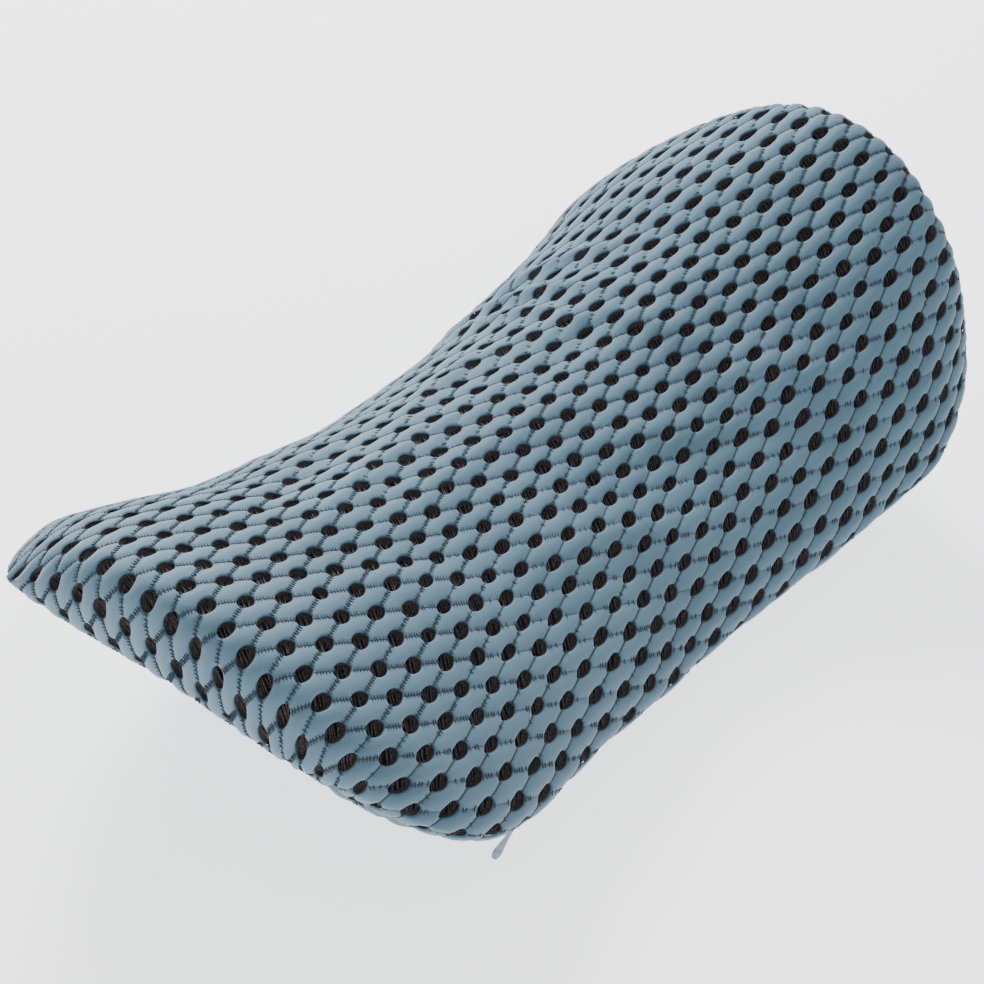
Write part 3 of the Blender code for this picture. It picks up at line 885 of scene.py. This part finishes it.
def strand_piece(name, sheet, holes, seed, wrinkled):
    """Spacer yarns that cross each hole under the face layer."""
    random = np.random.default_rng(seed + 50)
    s, t, _ = holes
    kept = sheet.past_slider(*sheet.place(s, t)) < -YARN_CLEAR
    s, t = s[kept], t[kept]
    strands = YARNS
    spread = (np.arange(strands) - (strands - 1) / 2) / ((strands - 1) / 2)
    middle = spread[None] * 0.0047 + 0.0003 * random.standard_normal((len(s), strands))
    half = 0.0043 * np.sqrt(np.maximum(1.12 - spread**2, 0.05))[None]
    lean = 0.0016 + 0.0004 * random.standard_normal((len(s), strands))
    share = np.array([-1, -0.4, 0.4, 1.0])
    places_s = s[:, None, None] + middle[..., None] + lean[..., None] * share
    places_t = t[:, None, None] + (half[..., None] * share)
    depth = -0.0030 + 0.0004 * random.standard_normal((len(s), strands, 1))
    depth = np.broadcast_to(depth, places_s.shape)
    paths = along_sheet(sheet, places_s, places_t, depth, seed, wrinkled).reshape(-1, 4, 3)
    points, faces = tubes(paths, YARN_RADIUS)
    return new_object(name, points, faces, SPACER)


def stitch_piece(name, sheet, holes, seed, wrinkled):
    """Grooves between the pads: a drawn thread, and short dark tubes laid across it as a ladder, painted
    shade that stands for the dark gaps between its stitches.
    """
    random = np.random.default_rng(seed + 90)
    s, t, _ = holes
    lines, shade_rungs = [], []
    for way in (1, -1):
        step = np.array([PITCH_S, way * PITCH_T / 2])
        unit = step / np.linalg.norm(step)
        side = np.array([-unit[1], unit[0]])
        start = np.column_stack([s, t]) + unit * GROOVE_START
        end = np.column_stack([s, t]) + step - unit * GROOVE_START
        middle = (start + end) / 2
        kept = sheet.past(*sheet.place(middle[:, 0], middle[:, 1])) < -0.004
        start, end, middle = start[kept], end[kept], middle[kept]
        pull = way * strength(middle[:, 0], middle[:, 1])
        share = np.linspace(0, 1, 7)
        wander = 0.00012 * random.standard_normal((len(start), 7))
        path = start[:, None] + (end - start)[:, None] * share[:, None] + wander[..., None] * side
        thick = 0.00006 + 0.00017 * line_weight(pull)
        lines.append((path, np.broadcast_to(thick[:, None], wander.shape)))
        # ladder: how often a groove gets the dark tubes of painted shade that stand for the gaps between
        # its stitches
        ladder = np.clip(0.95 - 1.3 * np.maximum(pull, 0) - 0.55 * np.maximum(-pull, 0), 0, 1)
        for k in range(SHADE_RUNGS):
            fraction = 0.10 + 0.16 * k + 0.012 * random.standard_normal(len(start))
            shown = random.random(len(start)) < ladder + 0.1
            centre = start + (end - start) * fraction[:, None]
            reach = (0.00105 + 0.0003 * random.random(len(start)))[:, None] * side
            slant = 0.0002 * random.standard_normal(len(start))[:, None] * unit
            shade_rung = np.stack([centre - reach - slant, centre, centre + reach + slant], 1)[shown]
            shade_rungs.append(shade_rung)
    pieces = []
    for path, thick in lines:
        depth = np.full(path.shape[:2], 0.00015)
        paths = along_sheet(sheet, path[..., 0], path[..., 1], depth, seed, wrinkled)
        pieces.append(tubes(paths, thick))
    # the dark tubes across the grooves: painted shade of the gaps between stitches
    path = np.concatenate(shade_rungs)
    depth = np.broadcast_to(np.array([0.00064, 0.00026, 0.00064]), path.shape[:2])
    paths = along_sheet(sheet, path[..., 0], path[..., 1], depth, seed, wrinkled)
    pieces.append(tubes(paths, 0.00023))
    points, faces, total = [], [], 0
    for part_points, part_faces in pieces:
        points.append(part_points)
        faces += [[i + total for i in face] for face in part_faces]
        total += len(part_points)
    return new_object(name, np.concatenate(points), faces, STITCH)


def back_piece(name, sheet, seed, wrinkled):
    """The back layer of the mesh, a plain dark knit."""
    along, across = np.arange(-0.37, 0.42, BACK_GRID), np.arange(-0.23, 0.23, BACK_GRID)
    s, t = np.meshgrid(along, across, indexing="ij")
    rows, columns = s.shape
    index = np.arange(rows * columns).reshape(rows, columns)
    corner = [index[:-1, :-1], index[1:, :-1], index[1:, 1:], index[:-1, 1:]]
    first, second, third, fourth = (c.ravel() for c in corner)
    faces = np.concatenate([np.stack([first, second, third], -1), np.stack([first, third, fourth], -1)])
    s, t = s.ravel(), t.ravel()
    excess = sheet.past(*sheet.place(s, t))
    data, faces = clipped(np.column_stack([s, t]), faces, excess)
    s, t = data.T
    points = along_sheet(sheet, s, t, np.full(len(s), -MESH_DEPTH), seed, wrinkled)
    if not sheet.upper:
        faces = [face[::-1] for face in faces]
    piece = new_object(name, points, faces, BACK)
    add_uv(piece, np.column_stack([s, t]))
    return piece


for label, sheet, seed, wrinkled, node in (
    ("upper", upper_sheet, 11, True, "cover_upper_panel"),
    ("base", base_sheet, 12, False, "cover_base_panel"),
):
    panel, holes = panel_piece(f"mesh_face_{label}", sheet, seed, wrinkled)
    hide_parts(node)
    others = [
        spacer_piece(f"mesh_spacer_{label}", sheet, holes, seed, wrinkled),
        strand_piece(f"mesh_yarns_{label}", sheet, holes, seed, wrinkled),
        stitch_piece(f"mesh_stitches_{label}", sheet, holes, seed, wrinkled),
        back_piece(f"mesh_back_{label}", sheet, seed, wrinkled),
    ]
    for piece in [panel, *others]:
        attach(piece, "cushion")


# ---------------------------------------------------------------- seam and zip


def woven_material(name, dark, light):
    """Herringbone tape: fine diagonal ribs with a slight sheen."""
    n = Nodes(name)
    fabric = n.add("ShaderNodeUVMap", uv_map="fabric").outputs[0]
    split = n.add("ShaderNodeSeparateXYZ", {0: fabric})
    zigzag = n.math("PINGPONG", split.outputs[1], 0.0011)
    slanted = n.math("ADD", split.outputs[0], zigzag)
    rib = n.math("SINE", n.math("MULTIPLY", slanted, 2 * math.pi / 0.0005))
    fibre = n.noise(n.add("ShaderNodeTexCoord").outputs["Object"], 2400.0, 2.0)
    body = n.mix(n.ramp(rib, -0.6, 0.8), linear(*dark), linear(*light))
    body = n.mix(n.ramp(fibre, 0.5, 0.8, 0.0, 0.25), body, linear(150, 172, 184))
    bump = n.add("ShaderNodeBump", {"Height": rib, "Distance": 0.00012, "Strength": 0.7})
    return n.finish(
        Base_Color=body, Roughness=n.ramp(fibre, 0.3, 0.8, 0.6, 0.78), Normal=bump.outputs[0],
        Sheen_Weight=0.2, Sheen_Roughness=0.5, Specular_IOR_Level=0.3,
    )


def zip_frame():
    """World frame at the centre of the seam's arc, as (centre, three directions)."""
    along = np.array([1, -TAPER, 0.0]) / math.hypot(1, TAPER)
    down = np.array([0, math.sin(ARC_LEAN), -math.cos(ARC_LEAN)])
    down -= down.dot(along) * along
    down /= np.linalg.norm(down)
    lowest = np.array([0, SEAM - HALF_WIDTH, RIM_HEIGHT - BELLY_WAIST * math.sin(SEAM_ANGLE)])
    return lowest - ARC_RADIUS * down, np.array([down, along, np.cross(down, along)])


def zip_points(turn, across, out):
    """Points of the zip: turn about the arc's centre, then across and out of the seam."""
    centre, ways = zip_frame()
    radius = ARC_RADIUS - across * math.sin(ZIP_FACE) + out * math.cos(ZIP_FACE)
    height = across * math.cos(ZIP_FACE) + out * math.sin(ZIP_FACE)
    return centre + np.stack([radius * np.cos(turn), radius * np.sin(turn), height], -1) @ ways


def zip_coil(name, side, material):
    """A row of nylon teeth: one wire wound into a flat coil, sewn down on the tape."""
    pitch, steps = 0.0014, 10
    half = math.asin(ZIP_END / ARC_RADIUS) - 0.003
    turns = int(2 * half * ARC_RADIUS / pitch)
    k = np.arange(turns * steps + 1) / steps
    angle = 2 * np.pi * k
    turn = -half + (k + (0.5 if side < 0 else 0.0)) * pitch / ARC_RADIUS
    low, high = TEETH[2] + 0.0003, TEETH[3] - 0.0003
    across = side * (TEETH[0] + TEETH[1]) / 2 - side * 0.00085 * np.cos(angle)
    out = (low + high) / 2 + (high - low) / 2 * np.sin(angle)
    points, faces = tubes(zip_points(turn, across, out)[None], 0.00028, 5)
    return new_object(name, points, faces, material)


def zip_tape(name, side, material):
    """The tape under the teeth, with a corded inner edge."""
    half = math.asin(ZIP_END / ARC_RADIUS)
    section = [(0.0005, -0.0056), (0.0007, -0.0053), (0.0011, -0.0053), (0.0014, -0.0056)]
    section += [(0.0030, -0.0058), (0.0058, -0.0060), (0.0058, -0.0064), (0.0006, -0.0064)]
    turns = np.linspace(-half, half, 161)
    section = np.array(section)
    ripple = 0.00007 * np.sin(turns[:, None] * 900)
    every_turn = np.repeat(turns[:, None], len(section), 1)
    sideways = np.repeat(side * section[None, :, 0], len(turns), 0)
    points = zip_points(every_turn, sideways, section[None, :, 1] + ripple)
    count = len(section)
    index = np.arange(len(turns) * count).reshape(len(turns), count)
    near, far = index[:-1], index[1:]
    faces = np.stack([near, np.roll(near, -1, 1), np.roll(far, -1, 1), far], -1).reshape(-1, 4)
    ends = [index[0, :: -int(side)].tolist(), index[-1, :: int(side)].tolist()]
    faces = faces[:, :: int(side)].tolist() + ends
    tape = new_object(name, points.reshape(-1, 3), faces, material, smooth=False)
    places = np.stack(np.broadcast_arrays(turns[:, None] * ARC_RADIUS, section[None, :, 0]), -1)
    add_uv(tape, places.reshape(-1, 2))
    return tape


def seam_line(count, depth):
    """Points along the sewn seam, from one end of the zip round to the other."""
    u, v = RIM[0][:-1].T
    by_zip = np.flatnonzero((np.abs(u) < ZIP_END + 0.004) & (v < 0))
    way = np.linspace(by_zip[-1] - ROUND, by_zip[0], count) % ROUND
    out = np.full(count, 1 + SEAM / BEYOND)
    return upper_sheet.raised(way, out, np.full(count, depth))


def even(points, spacing):
    """The same line with its points a spacing apart."""
    steps = np.linalg.norm(np.diff(points, axis=0), axis=1)
    total = np.concatenate([[0], np.cumsum(steps)])
    at = np.arange(0, total[-1], spacing)
    return np.column_stack([np.interp(at, total, points[:, k]) for k in range(3)])


TAPE_CLOTH = woven_material("tape_cloth", (78, 100, 113), (112, 138, 152))
NYLON = moulded_material("nylon_coil", (112, 136, 149), (150, 172, 184), 0.38)
ENAMEL = moulded_material("satin_enamel", (86, 112, 127), (128, 151, 165), 0.34)
SEAM_CLOTH = yarn_material("seam_cloth", (60, 82, 95), (98, 124, 138), 0.8)

line = even(seam_line(2400, -0.0040), 0.0012)
twist = np.arange(len(line)) * 0.9
points, faces = tubes(line[None], 0.0011 + 0.00016 * np.sin(twist)[None], 8)
cord = new_object("seam_cord", points, faces, SEAM_CLOTH)
stitches = even(seam_line(2400, -0.0030), 0.0032)
middle = (stitches[1:] + stitches[:-1]) / 2
reach = (stitches[1:] - stitches[:-1]) * 0.36
paths = np.stack([middle - reach, middle + 0.06 * reach, middle + reach], 1)
points, faces = tubes(paths, np.array([0.00018, 0.00030, 0.00018])[None], 6)
thread = new_object("seam_thread", points, faces, STITCH)
for piece in (cord, thread):
    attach(piece, "cushion")

for label, side in (("upper", 1), ("lower", -1)):
    coil = zip_coil(f"zip_coil_{label}", side, NYLON)
    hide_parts(f"zip_teeth_{label}")
    tape = zip_tape(f"zip_band_{label}", side, TAPE_CLOTH)
    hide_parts(f"zip_tape_{label}")
    for piece in (coil, tape):
        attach(piece, "cushion")

for name in ("zip_slider", "zip_pull", "zip_top_stop_upper", "zip_top_stop_lower", "zip_bottom_stop"):
    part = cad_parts[name]
    part.data.materials.clear()
    part.data.materials.append(ENAMEL)
    bevel = part.modifiers.new("rounded", "BEVEL")
    bevel.width, bevel.segments = 0.00028, 3
    bevel.limit_method, bevel.angle_limit = "ANGLE", math.radians(35)
    part.data.shade_smooth()


# ---------------------------------------------------------------- what the cover holds


def net_material():
    """Black open-hole tricot of the inner bag."""
    n = Nodes("liner_net")
    fabric = n.add("ShaderNodeUVMap", uv_map="fabric").outputs[0]
    split = n.add("ShaderNodeSeparateXYZ", {0: fabric})
    waves = [n.math("SINE", n.math("MULTIPLY", way, 2 * math.pi / 0.0021)) for way in split.outputs[:2]]
    net = n.math("MULTIPLY", *waves)
    body = n.mix(n.ramp(net, -0.3, 0.5), linear(20, 20, 22), linear(50, 49, 52))
    body = n.mix(n.ramp(n.noise(fabric, 40.0), 0.35, 0.7, 0.0, 0.4), body, linear(33, 32, 35))
    bump = n.add("ShaderNodeBump", {"Height": net, "Distance": 0.0003, "Strength": 0.8})
    return n.finish(
        Base_Color=body, Roughness=0.85, Normal=bump.outputs[0], Sheen_Weight=0.2, Specular_IOR_Level=0.2
    )


def foam_material():
    """Open-cell foam: pores of several sizes, faintly yellowed."""
    n = Nodes("foam_cells")
    place = n.add("ShaderNodeTexCoord").outputs["Object"]
    cells = n.add("ShaderNodeTexVoronoi", {"Vector": place, "Scale": 900.0}).outputs["Distance"]
    pits = n.ramp(cells, 0.0, 0.5)
    body = n.mix(pits, linear(150, 148, 140), linear(206, 204, 197))
    body = n.mix(n.ramp(n.noise(place, 25.0), 0.3, 0.7, 0.0, 0.4), body, linear(214, 208, 190))
    bump = n.add("ShaderNodeBump", {"Height": pits, "Distance": 0.0004, "Strength": 0.7})
    return n.finish(Base_Color=body, Roughness=0.95, Normal=bump.outputs[0], Specular_IOR_Level=0.15)


def bag_sheet(upper, inset, columns, rows):
    """Points and faces of one side of the bag or the filling, as far as the seam."""
    a = np.sin(np.linspace(-np.pi / 2, np.pi / 2, columns))
    b = np.sin(np.linspace(-np.pi / 2, np.pi / 2, rows))
    a, b = np.meshgrid(a, b, indexing="ij")
    if upper:
        points = upper_surface(a * (1 + SEAM / HALF_LENGTH), b * (1 + SEAM / HALF_WIDTH), inset)
    else:
        points = base_surface(a, b, inset)
    s, t = a * HALF_LENGTH, b * HALF_WIDTH
    edge = smooth(1 - np.maximum(np.abs(a), np.abs(b)), 0.0, 0.08)
    points[..., 2] += 1.6 * softness(s, t, 21) * edge
    index = np.arange(columns * rows).reshape(columns, rows)
    quads = np.stack([index[:-1, :-1], index[1:, :-1], index[1:, 1:], index[:-1, 1:]], -1).reshape(-1, 4)
    if not upper:
        quads = quads[:, ::-1]
    return points.reshape(-1, 3), quads, np.column_stack([s.ravel(), t.ravel()]), index


NET = net_material()
FOAM = foam_material()
for upper, label in ((True, "upper"), (False, "base")):
    points, quads, places, index = bag_sheet(upper, 0.0092, 120, 76)
    bag = new_object(f"inner_bag_{label}", points, quads.tolist(), NET)
    add_uv(bag, places)
    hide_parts(f"liner_{label}_panel")
    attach(bag, "cushion")
sides = [bag_sheet(upper, 0.0128, 110, 70) for upper in (True, False)]
points = np.concatenate([side[0] for side in sides])
quads = np.concatenate([sides[0][1], sides[1][1] + len(sides[0][0])])
block = new_object("foam_block", points, quads.tolist(), FOAM)
bm = bmesh.new()
bm.from_mesh(block.data)
bmesh.ops.remove_doubles(bm, verts=[v for v in bm.verts if v.is_boundary], dist=0.0001)
bm.to_mesh(block.data)
bm.free()
block.data.shade_smooth()
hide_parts("filling")
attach(block, "cushion")


# ---------------------------------------------------------------- camera, light and floor

floor_mesh = bpy.data.meshes.new("floor")
floor_mesh.from_pydata([(-60, -60, 0), (60, -60, 0), (60, 60, 0), (-60, 60, 0)], [], [(0, 1, 2, 3)])
floor = bpy.data.objects.new("floor", floor_mesh)
floor.location.z = -0.0002
bpy.context.scene.collection.objects.link(floor)
nodes = Nodes("floor_paper")
speck = nodes.noise(nodes.add("ShaderNodeTexCoord").outputs["Object"], 30.0, 2.0)
floor_mesh.materials.append(
    nodes.finish(
        Base_Color=nodes.mix(speck, (0.94, 0.94, 0.94, 1), (0.96, 0.96, 0.96, 1)), Roughness=0.9,
        Emission_Color=(1, 1, 1, 1), Emission_Strength=1.6,
    )
)

camera = bpy.data.objects.new("camera", bpy.data.cameras.new("camera"))
right = Vector((0.6594, -0.7256, 0.1966))
up = Vector((0.4983, 0.6177, 0.6084))
back = Vector((-0.5629, -0.3032, 0.7689))
turned = Matrix((right, up, back)).transposed().to_4x4()
camera.matrix_world = Matrix.Translation((-0.4362, -0.1998, 0.5970)) @ turned
camera.data.sensor_width = 36.0
camera.data.lens = 51.22
camera.data.clip_start = 0.01
bpy.context.scene.collection.objects.link(camera)
bpy.context.scene.camera = camera

world = bpy.data.worlds.new("studio")
bpy.context.scene.world = world
world.use_nodes = True
world.node_tree.nodes["Background"].inputs[0].default_value = (0.95, 0.97, 1.0, 1)
world.node_tree.nodes["Background"].inputs[1].default_value = 0.85


def area_light(name, place, target, size, power, colour):
    data = bpy.data.lights.new(name, "AREA")
    data.size, data.energy, data.color = size, power, colour
    light = bpy.data.objects.new(name, data)
    light.location = place
    light.rotation_euler = (Vector(target) - Vector(place)).to_track_quat("-Z", "Y").to_euler()
    bpy.context.scene.collection.objects.link(light)
    return light


area_light("key", (0.7, 1.6, 1.2), (0, 0, 0.05), 0.6, 72.0, (1.0, 1.0, 1.0))
area_light("fill", (-1.2, -0.9, 1.3), (0, 0, 0.05), 1.4, 3.0, (0.93, 0.97, 1.0))
